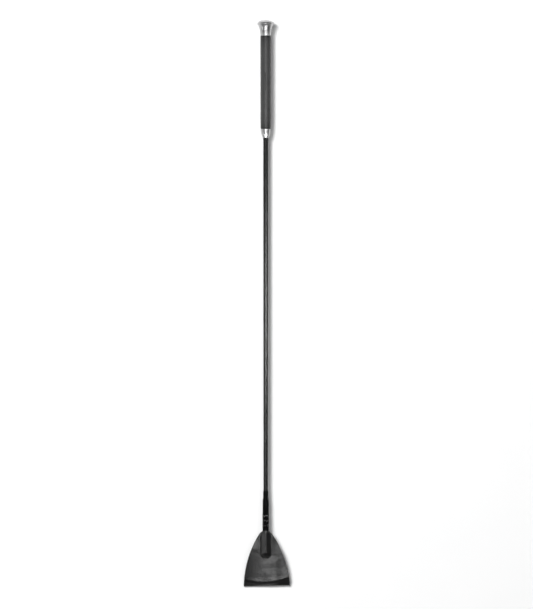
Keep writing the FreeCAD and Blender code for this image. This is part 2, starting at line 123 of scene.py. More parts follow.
class Shape:
    """Collects the points, faces and texture places of one mesh."""

    def __init__(self):
        self.points, self.faces, self.places, self.count = [], [], [], 0

    def add(self, points, faces, places):
        self.points.append(np.asarray(points, float))
        self.places.append(np.asarray(places, float))
        self.faces += [tuple(i + self.count for i in face) for face in faces]
        self.count += len(points)

    def make(self, name, material, slot, attributes=()):
        """The finished object. places become the UV map "mm", which holds real millimetres."""
        mesh = bpy.data.meshes.new(name)
        mesh.from_pydata(lay(np.concatenate(self.points)).tolist(), [], self.faces)
        corners = np.zeros(len(mesh.loops), int)
        mesh.loops.foreach_get("vertex_index", corners)
        layer = mesh.uv_layers.new(name="mm")
        layer.data.foreach_set("uv", np.concatenate(self.places)[corners].ravel())
        for label, values in attributes:
            mesh.attributes.new(label, "FLOAT", "POINT").data.foreach_set("value", values)
        mesh.polygons.foreach_set("use_smooth", [True] * len(mesh.polygons))
        mesh.materials.append(material)
        mesh.validate()
        mesh.update()
        piece = bpy.data.objects.new(name, mesh)
        bpy.context.scene.collection.objects.link(piece)
        return piece


def grid_faces(rows, columns, close_rows=False, close_columns=False):
    """Quads over a grid of points stored row by row."""
    faces = []
    for i in range(rows if close_rows else rows - 1):
        for j in range(columns if close_columns else columns - 1):
            a, b = i * columns + j, i * columns + (j + 1) % columns
            c, d = (i + 1) % rows * columns + (j + 1) % columns, (i + 1) % rows * columns + j
            faces.append((a, b, c, d))
    return faces


def filleted(corners, steps=6):
    """A path of (s, r) points through (s, r, fillet) corners, each rounded by an arc of its fillet."""
    path = []
    last = len(corners) - 1
    for i, (s, r, fillet) in enumerate(corners):
        here = np.array([s, r])
        if fillet == 0 or i in (0, last):
            path.append(here)
            continue
        before = np.array(corners[i - 1][:2]) - here
        after = np.array(corners[i + 1][:2]) - here
        before, after = before / np.linalg.norm(before), after / np.linalg.norm(after)
        half = math.acos(np.clip(before @ after, -1, 1)) / 2
        reach = fillet / math.tan(half)
        first, final = here + before * reach, here + after * reach
        middle = here + (before + after) / np.linalg.norm(before + after) * fillet / math.sin(half)
        for t in np.linspace(0, 1, steps):
            spoke = (first - middle) * (1 - t) + (final - middle) * t
            path.append(middle + spoke / np.linalg.norm(spoke) * fillet)
    return path


def lathe(profile, segments=128, closed=False):
    """A shape turned about the crop's axis from (s, r) points. Ends on the axis close themselves."""
    profile = np.asarray(profile, float)
    angles = np.arange(segments) / segments * TURN
    s, r = (np.repeat(profile[:, k], segments) for k in (0, 1))
    around = np.tile(angles, len(profile))
    points = np.stack([r * np.sin(around), r * np.cos(around), s], axis=1)
    places = np.stack([around * np.maximum(r, 1), s], axis=1)
    shape = Shape()
    shape.add(points, grid_faces(len(profile), segments, closed, True), places)
    return shape


def tube(shape, centres, out, half_width, half_depth, section):
    """Adds a strand with closed ends. Section points are (across, outward) shares of the half sizes."""
    along = np.gradient(centres, axis=0)
    along /= np.linalg.norm(along, axis=1, keepdims=True)
    out = out - np.sum(out * along, axis=1, keepdims=True) * along
    out /= np.linalg.norm(out, axis=1, keepdims=True)
    across = np.cross(along, out)
    section = np.asarray(section, float)
    points = (
        centres[:, None]
        + across[:, None] * (section[None, :, :1] * half_width)
        + out[:, None] * (section[None, :, 1:] * half_depth)
    )
    n, m = len(centres), len(section)
    travelled = np.concatenate([[0], np.cumsum(np.linalg.norm(np.diff(centres, axis=0), axis=1))])
    places = np.stack([np.repeat(travelled, m), np.tile(section[:, 0] * half_width, n)], axis=1)
    faces = grid_faces(n, m, False, True) + [tuple(range(m))[::-1], tuple(range((n - 1) * m, n * m))]
    shape.add(points.reshape(-1, 3), faces, places)


def oval(corners):
    """A round section of a number of corners, for tube()."""
    return [(math.cos(a), math.sin(a)) for a in np.arange(corners) / corners * TURN]


def strand_out(angle):
    """Unit vectors straight out from the crop's axis, for a strand at these angles round it."""
    return np.stack([np.sin(angle), np.cos(angle), np.zeros_like(angle)], axis=1)


def strand_line(r, angle, s):
    """The centre line of a strand at radius r and station s, at these angles round the axis."""
    return np.stack([r * np.sin(angle), r * np.cos(angle), s], axis=1)


YARN = ((1, 0), (0.72, 0.8), (0, 1), (-0.72, 0.8), (-1, 0), (0, -0.9))


# ---- Materials ----

class Surface:
    """A Principled material and short ways to wire patterns into it. Texture places are millimetres."""

    def __init__(self, name, **constants):
        self.material = bpy.data.materials.new(name)
        self.material.use_nodes = True
        self.tree = self.material.node_tree
        self.shader = self.tree.nodes["Principled BSDF"]
        self.height = None
        for socket, value in constants.items():
            self.shader.inputs[socket.replace("_", " ")].default_value = value

    def node(self, kind, inputs=None, **settings):
        made = self.tree.nodes.new(kind)
        for key, value in settings.items():
            setattr(made, key, value)
        for key, value in (inputs or {}).items():
            if isinstance(value, bpy.types.NodeSocket):
                self.tree.links.new(value, made.inputs[key])
            else:
                made.inputs[key].default_value = value
        return made

    def places(self, stretch=(1, 1, 1), mm_map=True):
        """Texture places in millimetres: the mesh's own "mm" map, or the object's space."""
        if mm_map:
            source = self.node("ShaderNodeUVMap", uv_map="mm").outputs["UV"]
            scale = stretch
        else:
            source = self.node("ShaderNodeTexCoord").outputs["Object"]
            scale = tuple(k / MM for k in stretch)
        return self.node("ShaderNodeMapping", {"Vector": source, "Scale": scale}).outputs["Vector"]

    def noise(self, places, grain, detail=3, roughness=0.55):
        """Soft noise whose patches are about grain millimetres wide."""
        inputs = {"Vector": places, "Scale": 1 / grain, "Detail": detail, "Roughness": roughness}
        return self.node("ShaderNodeTexNoise", inputs).outputs["Fac"]

    def cells(self, places, size):
        """How far each place is from the edge of its cell, for cells about size millimetres wide."""
        inputs = {"Vector": places, "Scale": 1 / size}
        return self.node("ShaderNodeTexVoronoi", inputs, feature="DISTANCE_TO_EDGE").outputs["Distance"]

    def ranged(self, value, low, high, start=0.0, end=1.0):
        """A value that goes from low to high as another goes from start to end."""
        inputs = {"Value": value, "From Min": start, "From Max": end, "To Min": low, "To Max": high}
        return self.node("ShaderNodeMapRange", inputs).outputs["Result"]

    def math(self, operation, a, b):
        return self.node("ShaderNodeMath", {0: a, 1: b}, operation=operation).outputs["Value"]

    def mix(self, share, first, second):
        """A colour between two, each a colour or a socket."""
        made = self.node("ShaderNodeMix", data_type="RGBA")
        for index, value in ((0, share), (6, first), (7, second)):
            if isinstance(value, bpy.types.NodeSocket):
                self.tree.links.new(value, made.inputs[index])
            else:
                made.inputs[index].default_value = value
        return made.outputs[2]

    def set(self, socket, value):
        self.tree.links.new(value, self.shader.inputs[socket])

    def raise_by(self, value, depth):
        """Adds a pattern to the surface's height: value times depth, in millimetres."""
        added = self.math("MULTIPLY", value, depth)
        self.height = added if self.height is None else self.math("ADD", self.height, added)

    def done(self):
        """The finished material, with its height as a bump."""
        if self.height is not None:
            bump = self.node("ShaderNodeBump", {"Height": self.height, "Distance": MM, "Strength": 1.0})
            self.set("Normal", bump.outputs["Normal"])
        return self.material


def grey(level, warmth=0.0):
    """A grey, with a share more red and less blue for warmth."""
    return (level * (1 + warmth), level, level * (1 - warmth), 1)


def satin_metal():
    """Turned aluminium with a fine satin finish: very fine lines round the axis and faint mottling."""
    s = Surface("satin_aluminium", Metallic=1.0, Anisotropic=0.35)
    lines = s.noise(s.places((0.15, 14, 1)), 1.0, 4, 0.7)
    cloud = s.noise(s.places(), 4.0, 2)
    s.set("Base Color", s.mix(cloud, grey(0.42), grey(0.47)))
    s.set("Roughness", s.ranged(s.math("ADD", lines, cloud), 0.25, 0.37, 0.6, 1.4))
    s.raise_by(lines, 0.004)
    return s.done()


def soft_rubber():
    """Smooth soft-touch rubber with painted shade darkening it towards both ends, and dark ink in the
    pressed mark.
    """
    s = Surface(
        "soft_touch_rubber", IOR=1.5, Specular_IOR_Level=0.4, Sheen_Weight=0.1, Sheen_Roughness=0.4,
    )
    cloud = s.noise(s.places((1, 0.4, 1)), 9.0, 3)
    skin = s.mix(cloud, grey(0.026), grey(0.034))
    # Painted shade: the ends attribute darkens the rubber's colour near both ends of the grip.
    ends = s.node("ShaderNodeAttribute", attribute_name="ends").outputs["Fac"]
    ink = s.node("ShaderNodeAttribute", attribute_name="ink").outputs["Fac"]
    s.set("Base Color", s.mix(ink, s.mix(ends, skin, grey(0.012)), grey(0.004)))
    fine = s.noise(s.places(), 0.12, 2)
    s.set("Roughness", s.ranged(s.math("ADD", fine, cloud), 0.36, 0.48, 0.7, 1.3))
    s.raise_by(fine, 0.006)
    return s.done()


def black_moulding(name, level):
    """Moulded plastic or rubber with a dull, slightly grainy skin."""
    s = Surface(name, IOR=1.48)
    cloud = s.noise(s.places(mm_map=False), 1.5, 3)
    s.set("Base Color", s.mix(cloud, grey(level), grey(level * 1.7)))
    s.set("Roughness", s.ranged(cloud, 0.42, 0.6))
    s.raise_by(s.noise(s.places(mm_map=False), 0.15, 2), 0.008)
    return s.done()


def thread(name, level, rough, fibre, sheen, gloss=0.5, wax=0.0):
    """Dyed thread: fine filaments that run along each strand, and small changes of shade."""
    s = Surface(
        name, IOR=1.5, Sheen_Weight=sheen, Sheen_Roughness=0.35, Specular_IOR_Level=gloss, Coat_Weight=wax,
    )
    filaments = s.noise(s.places((0.25, 1, 1)), fibre, 3, 0.6)
    shade = s.math("MULTIPLY", filaments, s.noise(s.places(), 1.3, 2))
    s.set("Base Color", s.mix(shade, grey(level * 0.5), grey(level * 2.2)))
    s.set("Roughness", s.ranged(filaments, rough - 0.07, rough + 0.1, 0.3, 0.7))
    s.raise_by(filaments, 0.004)
    return s.done()


def leather():
    """Smooth black leather: a fine pebbled grain, sparse pores, faint creases and an uneven polish."""
    s = Surface("black_leather", IOR=1.5, Specular_IOR_Level=0.5)
    places = s.places()
    drift = s.noise(places, 14.0, 3)
    grain = s.cells(places, 0.55)
    fine = s.noise(places, 0.22, 3)
    creases = s.noise(s.places((0.35, 1, 1)), 1.6, 4, 0.65)
    s.set("Base Color", s.mix(s.math("MULTIPLY", drift, fine), grey(0.005), grey(0.014, 0.02)))
    s.set("Roughness", s.ranged(s.math("ADD", drift, fine), 0.26, 0.38, 0.6, 1.4))
    s.raise_by(s.ranged(grain, 0, 1, 0, 0.3), 0.01)
    s.raise_by(fine, 0.012)
    s.raise_by(creases, 0.016)
    return s.done()


def glass_fibre():
    """Pultruded rod: dark resin with fine pale fibres along it."""
    s = Surface("glass_fibre", Coat_Weight=0.4, Coat_Roughness=0.15)
    fibres = s.noise(s.places((1, 0.02, 1), mm_map=False), 0.12, 3)
    s.set("Base Color", s.mix(fibres, grey(0.012), grey(0.06)))
    s.set("Roughness", s.ranged(fibres, 0.25, 0.45))
    s.raise_by(fibres, 0.01)
    return s.done()


def studio_floor():
    """Matt pale paper, which glows white from where the lights no longer reach to the horizon."""
    glow_start, glow_full = 480, 900
    s = Surface("studio_floor", Specular_IOR_Level=0.0)
    middle = {0: s.places(mm_map=False)}
    away = s.node("ShaderNodeVectorMath", middle, operation="LENGTH").outputs["Value"]
    seen = s.node("ShaderNodeLightPath").outputs["Is Camera Ray"]
    s.set("Emission Strength", s.math("MULTIPLY", seen, s.ranged(away, 0.0, 1.0, glow_start, glow_full)))
    cloud = s.noise(s.places(mm_map=False), 60.0, 2)
    s.set("Base Color", s.mix(cloud, grey(0.80), grey(0.82)))
    s.set("Roughness", s.ranged(cloud, 0.55, 0.65))
    return s.done()


METAL = satin_metal()
RUBBER = soft_rubber()
BLACK = black_moulding("black_moulding", 0.003)
BRAID = thread("braided_thread", 0.003, 0.3, 0.1, 0.0, 0.25)
BINDING = thread("binding_thread", 0.002, 0.32, 0.08, 0.0, 0.05)
WAXED = thread("waxed_thread", 0.003, 0.2, 0.1, 0.0, wax=1.0)
SEWING = thread("sewing_thread", 0.005, 0.45, 0.08, 0.05)
LEATHER = leather()


# ---- Handle ----

SHADE_RING_WALL = 0.4
MARK_START, MARK_LENGTH, MARK_OFFSET = 42.0, 20.0, 0.5
DASH_LENGTH, DASH_WIDTH, DASH_DEPTH, DASH_COUNT = 1.5, 0.9, 0.25, 9


def turned_piece(name, shape, material, slot, *nodes, attributes=()):
    """A piece of the crop's own body, made from a turned shape, that stands for these nodes."""
    piece = shape.make(name, material, slot, attributes)
    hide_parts(*nodes)
    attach(piece, "crop")


def tuples(path):
    """A path of arrays as a path of plain tuples, which join with other lists of points."""
    return [tuple(point) for point in path]


def make_end_cap():
    """The flared pommel: a low crown, a rolled rim, and a flare that is a quarter of an ellipse."""
    crown_radius, crown_edge, apex = 18.0, 8.75, -0.6
    roll, roll_end = 2.3, 1.5
    rim_band, rim_fillet, undercut = 0.15, 0.2, 1.0
    flare_wide, flare_long = 7.0, 15.5
    straight, foot_fillet, socket_fillet, socket_depth = 0.4, 0.15, 0.1, 8

    crown = [
        (apex + crown_radius - math.sqrt(crown_radius**2 - r**2), r)
        for r in np.linspace(0, crown_edge, 24)
    ]
    lean = math.asin(crown_edge / crown_radius)
    middle_s = crown[-1][0] + roll * math.cos(lean)
    middle_r = crown[-1][1] - roll * math.sin(lean)
    rolled = [
        (middle_s - roll * math.cos(a), middle_r + roll * math.sin(a))
        for a in np.linspace(lean, roll_end, 20)[1:]
    ]
    rim_s, rim_r = rolled[-1]

    def flare(s):
        depth = (CAP_END - s) / flare_long
        return GRIP_R + flare_wide * (1 - math.sqrt(1 - depth**2))

    below = next(s for s in np.arange(rim_s, CAP_END, 0.01) if flare(s) < rim_r - undercut)
    rim = filleted([
        (*rolled[-2], 0),
        (rim_s + rim_band, rim_r, rim_fillet),
        (below, flare(below), 0),
    ])[1:-1]
    body = [(s, flare(s)) for s in np.linspace(below, CAP_END - straight / 2, 40)]
    foot = filleted([
        (CAP_END - straight, GRIP_R, 0),
        (CAP_END, GRIP_R, foot_fillet),
        (CAP_END, FORMER_R, socket_fillet),
        (CAP_END - socket_depth, FORMER_R, 0),
    ])[1:]
    profile = crown + rolled[:-1] + tuples(rim) + body + tuples(foot) + [(CAP_END - socket_depth, 0)]
    turned_piece("pommel_cap", lathe(profile, 160), METAL, "satin_metal", "end_cap")


def make_ring(name, node, start, end, outer, inner, round_edge):
    """A thin moulded ring with rounded outer edges."""
    corners = [
        (start, inner, 0),
        (start, outer, round_edge),
        (end, outer, round_edge),
        (end, inner, 0),
    ]
    turned_piece(name, lathe(filleted(corners), 96, True), BLACK, "black_ring", node)


def mark_share(x, s):
    """1 inside one of the mark's pressed dashes and 0 outside, with a soft wall between."""
    wall, corner = 0.09, 0.25
    pitch = (MARK_LENGTH - DASH_LENGTH) / (DASH_COUNT - 1)
    along = s - MARK_START - DASH_LENGTH / 2
    nearest = np.clip(np.round(along / pitch), 0, DASH_COUNT - 1)
    a = np.abs(along - nearest * pitch) - DASH_LENGTH / 2 + corner
    b = np.abs(x + MARK_OFFSET) - DASH_WIDTH / 2 + corner
    outside = np.hypot(np.maximum(a, 0), np.maximum(b, 0)) + np.minimum(np.maximum(a, b), 0) - corner
    return 1 - smooth((outside + wall) / (2 * wall))


def make_grip():
    """The sleeve: rounded ends, a slightly slimmer lower end, the row of plain dashes, and painted shade
    towards both ends.
    """
    margin, fine_step, end_run, taper = 0.6, 0.11, 1, 0.12
    top_fillet, foot_fillet, painted_end_shade = 0.45, 0.55, 0.9
    length = GRIP_END - GRIP_START
    fine = np.arange(MARK_START - margin, MARK_START + MARK_LENGTH + margin, fine_step)
    stations = np.concatenate([
        np.linspace(end_run, fine[0], 12)[:-1],
        fine,
        np.linspace(fine[-1], length - end_run, 16)[1:],
    ])
    foot_r = GRIP_R - taper
    side = [(GRIP_START + s, GRIP_R + (foot_r - GRIP_R) * smooth(s / length)) for s in stations]
    top = filleted([
        (GRIP_START, FORMER_R, 0),
        (GRIP_START, GRIP_R, top_fillet),
        (GRIP_START + end_run, GRIP_R, 0),
    ])[:-1]
    foot = filleted([
        (GRIP_END - end_run, foot_r, 0),
        (GRIP_END, foot_r, foot_fillet),
        (GRIP_END, FORMER_R, 0),
    ])[1:]
    shape = lathe(tuples(top) + side + tuples(foot), 288, True)
    points = shape.points[0]
    s = points[:, 2] - GRIP_START
    outer = np.hypot(points[:, 0], points[:, 1])
    share = mark_share(points[:, 0], s) * (points[:, 1] > 0) * (outer > GRIP_R - 1)
    points[:, :2] *= (1 - share * DASH_DEPTH / np.maximum(outer, 1))[:, None]
    # Painted shade: how much the colour darkens near each end of the sleeve.
    ends = painted_end_shade * bell(s, 9) + painted_end_shade * bell(length - s, 7)
    turned_piece(
        "grip_sleeve_soft", shape, RUBBER, "grip_rubber", "grip_sleeve",
        attributes=(("ink", share), ("ends", np.clip(ends, 0, 1))),
    )


def make_ferrule():
    """The bullet-shaped ferrule: its side is an arc that bulges a little between its two ends."""
    swell, wall, clearance, lip_depth, seat_depth = 24.0, 0.62, 0.02, 3, 3.6
    edge_fillet, mouth_fillet, bore_fillet = 0.2, 0.22, 0.1
    mouth_r = shaft_radius(FERRULE_END) + wall
    bore = shaft_radius(FERRULE_END) + clearance
    chord = np.array([FERRULE_END - FERRULE_START, mouth_r - FERRULE_R])
    length = np.linalg.norm(chord)

    def bulge(t):
        return math.sqrt(swell**2 - ((t - 0.5) * length) ** 2) - math.sqrt(swell**2 - length**2 / 4)

    side = [
        (FERRULE_START + t * chord[0], FERRULE_R + t * chord[1] + bulge(t))
        for t in np.linspace(0.02, 0.96, 30)
    ]
    lip = filleted([
        side[-1] + (0,),
        (FERRULE_END, mouth_r, mouth_fillet),
        (FERRULE_END, bore, bore_fillet),
        (FERRULE_END - lip_depth, bore, 0),
    ])[1:]
    seat = FERRULE_START + seat_depth
    back = [(seat, bore), (seat, FORMER_R), (FERRULE_START, FORMER_R)]
    edge = filleted([
        (FERRULE_START, FORMER_R, 0),
        (FERRULE_START, FERRULE_R, edge_fillet),
        side[0] + (0,),
    ])[1:-1]
    profile = tuples(edge) + side + tuples(lip) + back
    turned_piece("ferrule_cone", lathe(profile, 128, True), METAL, "satin_metal", "ferrule")


# ---- Shaft and neck ----

YARNS_PER_HAND = 12
YARN_DEPTH = 0.2
STEPS_PER_FLOAT = 8
COVERED = 0.99
STEP = TONGUE_START - NECK_START


def braid(name, radius, start, end, lead, hand, material, slot):
    """One hand of a regular braid: each yarn floats over two of the other hand, then dives under two.

    radius(s, angle) is the braid's outer radius, and lead is how far a yarn travels in one turn. The
    floats of each hand stand in columns along the shaft.
    """
    shape = Shape()
    floats = YARNS_PER_HAND // 2
    turns = (end - start) / lead
    t = np.linspace(0, 1, int(turns * floats * STEPS_PER_FLOAT) + 1)
    s = start + t * (end - start)
    for k in range(YARNS_PER_HAND):
        angle = TURN * (k / YARNS_PER_HAND + hand * t * turns)
        wave = hand * np.cos(floats * angle)
        lift = 0.5 * YARN_DEPTH * wave * (1.25 - 0.25 * wave**2)
        r = radius(s, angle) - 0.8 * YARN_DEPTH + lift
        round_way = TURN * np.mean(r)
        width = COVERED * lead / YARNS_PER_HAND * round_way / math.hypot(round_way, lead)
        tube(shape, strand_line(r, angle, s), strand_out(angle), width / 2, YARN_DEPTH / 2, YARN)
    return shape.make(name, material, slot)


def make_shaft():
    """The shaft's cover: twenty-four flat yarns, twelve of each hand."""
    lead = 17.2
    start, end = FERRULE_END - 2, NECK_START + 3

    def radius(s, angle):
        return shaft_radius(s)

    for hand, name in ((1, "braid_right_hand"), (-1, "braid_left_hand")):
        yarns = braid(name, radius, start, end, lead, hand, BRAID, "braid_thread")
        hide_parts("braid_cover")
        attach(yarns, "crop")


def binding_radius(s, angle):
    """The neck's outline: bare shaft, then a step where the leather begins, sharp on the left side."""
    cover, inset, growth, turned_in = 0.38, 0.05, 0.14, 0.12
    left_lead, right_lead = 0.6, 2.1
    left_rise, right_rise = 1.2, 5.7
    d = s - NECK_START
    right = (1 + np.sin(angle)) / 2
    lead = left_lead + (right_lead - left_lead) * right
    over = smooth((d - STEP + lead) / (left_rise + (right_rise - left_rise) * right))
    thick = NECK_R - inset + growth * (d - STEP) / (SHOULDER - TONGUE_START)
    end = turned_in * bell(d, 0.5) + turned_in * bell(SHOULDER - s, 0.5)
    bare = shaft_radius(s) + cover
    return bare + (thick - bare) * over - end


def make_neck():
    """Fine thread braided tightly over the shaft's end and the leather's tongues."""
    lead = 7.0
    start, end = NECK_START, SHOULDER - 0.3
    for hand, name in ((1, "neck_binding_right_hand"), (-1, "neck_binding_left_hand")):
        yarns = braid(name, binding_radius, start, end, lead, hand, BINDING, "binding_thread")
        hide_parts("neck_binding")
        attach(yarns, "crop")


def cord_strand(shape, centres, out, radius, twist, plies=3):
    """A round cord laid up from a few plies that twist round its centre line."""
    along = np.gradient(centres, axis=0)
    along /= np.linalg.norm(along, axis=1, keepdims=True)
    side = np.cross(along, out)
    travelled = np.concatenate([[0], np.cumsum(np.linalg.norm(np.diff(centres, axis=0), axis=1))])
    ply = radius * 0.52
    for k in range(plies):
        turn = TURN * (travelled / twist + k / plies)
        spoke = np.cos(turn)[:, None] * out + np.sin(turn)[:, None] * side
        tube(shape, centres + spoke * (radius - ply), spoke, ply, ply, oval(6))


def make_lashing():
    """Two passes of doubled waxed cord that cross on the face and on the back of the neck."""
    radius, twist, gap, pitch = 0.26, 1.5, 0.34, 5.5
    sunk, climb, wander, steps_per_turn = 0.45, 0.5, 0.1, 90
    length = LASH_END - LASH_START
    turns = length / pitch
    passes = (1, "lashing_down", "lashing_down_pass"), (-1, "lashing_return", "lashing_return_pass")
    for hand, name, node in passes:
        shape = Shape()
        for lane in (-1, 1):
            t = np.linspace(0, 1, int(turns * steps_per_turn))
            angle = hand * TURN * (t - 0.5) * turns
            s = LASH_START + t * length + lane * gap
            crossing = bell(np.sin(angle), 0.55)
            lift = (climb if hand < 0 else 0.0) * crossing
            sway = wander * np.sin(3.1 * t * turns + lane)
            r = binding_radius(s, angle) + radius * sunk + lift
            cord_strand(shape, strand_line(r, angle, s + sway), strand_out(angle), radius, twist)
        piece = shape.make(name, WAXED, "waxed_thread")
        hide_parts(node)
        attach(piece, "crop")


# ---- Leather flap ----

PLY = 1.4
FOLD_GAP = 0.3
FOLD_R = PLY + FOLD_GAP
RIDGE_END, RIDGE_FOOT = 24.6, 4.9
STITCH_START, STITCH_END, STITCH_X = 5.2, 25.95, 5.45
PLY_CLEARANCE = 0.05
GROOVE = 0.48
BEVEL = 0.4
EDGE_ARC, EDGE_CENTRE, EDGE_OFFSET = 121.3, 68.9, 94.55
NECK_D = TONGUE_START - SHOULDER


def half_width(d):
    """Half the flap's width at a distance d below its shoulder, running up into the neck."""
    return np.sqrt(EDGE_ARC**2 - (EDGE_CENTRE - np.maximum(d, -1)) ** 2) - EDGE_OFFSET


def stitch_distance(x, d):
    """How far a point of the flap is from the U of stitches."""
    leg = np.hypot(np.abs(x) - STITCH_X, np.maximum(STITCH_START - d, 0))
    turn = np.abs(np.hypot(x, d - STITCH_END) - STITCH_X)
    return np.where(d < STITCH_END, leg, turn)


def tent(x, d):
    """Half the space between the plies: the round rod, with the leather drawn straight down beside it."""
    clearance, foot_height, foot_width = 0.08, 0.1, 0.9
    rod = ROD_TIP_R + clearance
    reach = np.hypot(x, np.maximum(d - RIDGE_END, 0))
    slope = math.asin(rod / RIDGE_FOOT)
    touch = rod * math.sin(slope)
    over = np.sqrt(np.maximum(rod**2 - reach**2, 0))
    flank = (RIDGE_FOOT - reach) * math.tan(slope)
    height = np.where(reach < touch, over, np.maximum(flank, 0))
    foot = foot_height * bell(reach - RIDGE_FOOT, foot_width)
    return PLY_CLEARANCE + height + foot


def soft_ramp(distance, width):
    """0 before 0 and growing evenly after it, with a soft start."""
    return width * np.logaddexp(0, distance / width)


def first_wave(x):
    """Where the first wave below the pocket lies: it runs up towards the right edge."""
    return 34.6 - 1.05 * soft_ramp(x - 9, 2.5)


def second_wave(x):
    """Where the second wave lies, a little above the crest."""
    return 46.3 - 0.1 * soft_ramp(x - 9, 3)


def crest_line(x):
    """Where the lip turns down: an arc across the flap that climbs most at the right edge."""
    return 58.8 - 5.6 * (x / WIDEST) ** 2 - 0.9 * x / WIDEST


def slope_down(x, d):
    """How steeply the leather falls along d before its lip: a long slope with easy waves on the right."""
    left_slope, right_slope, wave_relief = 10.9, 9.2, 6.0
    left_crest, right_crest = 1.5, 6.0
    across = x / WIDEST
    right = smooth((across + 0.8) / 1.5)
    waves = bell(d - first_wave(x), 3.0) + bell(d - second_wave(x), 2.7)
    waves *= smooth((across + 0.35) / 0.6)
    crest = (left_crest + (right_crest - left_crest) * right) * bell(d - crest_line(x) + 2.2, 2.2)
    slope = left_slope + (right_slope - left_slope) * right - wave_relief * waves - crest
    early = smooth(-across / 0.8)
    return np.tan(np.radians(slope)) * smooth((d - 26 + 8 * early) / (7 + 4 * early))


def wings(x, d):
    """How far the leather beside the pocket droops on the right, and curls up on the left (negative)."""
    curl, droop = math.radians(8.0), math.radians(10)
    left = -math.tan(curl) * soft_ramp(-x - 4, 4.0) * smooth((d - 8) / 14)
    right = math.tan(droop) * soft_ramp(x - 6, 1.5) * (1 - smooth((d - first_wave(x) + 22) / 26))
    return (left + right) * smooth((d - 2) / 8)


def askew(points, d):
    """The leather hangs a little askew, so its lower right corner is the higher one."""
    lean, settled = math.radians(1.5), 26
    grown = np.clip(d, 0, None)
    early = np.minimum(grown, settled)
    eased = early**3 / settled**2 - early**4 / (2 * settled**3)
    moved = points.copy()
    moved[..., 0] += lean * (eased + np.maximum(grown - settled, 0))
    moved[..., 2] -= points[..., 0] * (lean * smooth(grown / settled))
    return moved


def make_core():
    """A grid of heights between the plies: level at the pocket, then falling to the fold on the floor."""
    lip_lead, lip_length, corner_clear = 1.6, 3.8, 1.6
    steps = np.linspace(-2, FLAP_LENGTH, 460)
    sides = np.linspace(-1.08, 1.08, 161) * WIDEST

    def summed(slopes):
        middles = (slopes[:, 1:] + slopes[:, :-1]) / 2 * (steps[1] - steps[0])
        return np.concatenate([np.zeros((len(sides), 1)), np.cumsum(middles, axis=1)], axis=1)

    across, along = sides[:, None], steps[None]
    fall = summed(slope_down(across, along)) + wings(across, along)
    lip = summed(smooth((along - crest_line(across) + lip_lead) / lip_length))
    last = np.searchsorted(steps, FLAP_LENGTH - FOLD_R)
    clear = corner_clear * smooth((sides / WIDEST + 0.8) / 1.2)
    share = (AXIS_Z / MM - FOLD_R - clear - fall[:, last]) / lip[:, last]
    return sides, steps, -(fall + share[:, None] * lip)


def core(x, d):
    """Height of the surface between the plies."""
    sides, steps, heights = CORE
    x, d = np.broadcast_arrays(x, d)
    i = np.clip((x - sides[0]) / (sides[1] - sides[0]), 0, len(sides) - 1.001)
    j = np.clip((d - steps[0]) / (steps[1] - steps[0]), 0, len(steps) - 1.001)
    i0, j0 = i.astype(int), j.astype(int)
    a, b = i - i0, j - j0
    return (
        heights[i0, j0] * (1 - a) * (1 - b)
        + heights[i0 + 1, j0] * a * (1 - b)
        + heights[i0, j0 + 1] * (1 - a) * b
        + heights[i0 + 1, j0 + 1] * a * b
    )


CORE = make_core()


def flap_grid():
    """Rows of points over the flap as (x, d), set closer together at its edges and over the ridge."""
    edge_margin, bunching = 0.6, 1.35
    stations = np.concatenate([
        np.linspace(NECK_D, -2, 30)[:-1],
        np.arange(-2, HINGE, 0.4),
        np.linspace(HINGE, FLAP_LENGTH - FOLD_R, 60),
    ])
    edge = np.array([0, 0.05, 0.14, 0.26, BEVEL])
    inner = np.linspace(-1, 1, 91)
    inner = np.sign(inner) * np.abs(inner) ** bunching
    width = half_width(stations)[:, None]
    middle = inner[None] * (width - edge_margin)
    x = np.concatenate([-width + edge[None], middle, width - edge[None, ::-1]], axis=1)
    return x, np.broadcast_to(stations[:, None], x.shape)


def core_normals(x, d):
    """Unit normals of the surface between the plies, pointing up."""
    step = 0.4
    slope_x = (core(x + step, d) - core(x - step, d)) / (2 * step)
    slope_d = (core(x, d + step) - core(x, d - step)) / (2 * step)
    normal = np.stack([-slope_x, np.ones_like(x), -slope_d], axis=2)
    return normal / np.linalg.norm(normal, axis=2, keepdims=True)


def two_sided_faces(rows, columns):
    """Faces of a sheet with thickness: a grid of outer points, one of inner points, and its cut edges."""
    total = rows * columns
    outer = grid_faces(rows, columns)
    faces = outer + [tuple(i + total for i in face[::-1]) for face in outer]
    right, last = columns - 1, (rows - 1) * columns
    for i in range(rows - 1):
        a, b = i * columns, (i + 1) * columns
        faces.append((a, b, b + total, a + total))
        faces.append((a + right + total, b + right + total, b + right, a + right))
    for j in range(columns - 1):
        faces.append((j, j + total, j + 1 + total, j + 1))
        faces.append((last + j + 1, last + j + 1 + total, last + j + total, last + j))
    return faces


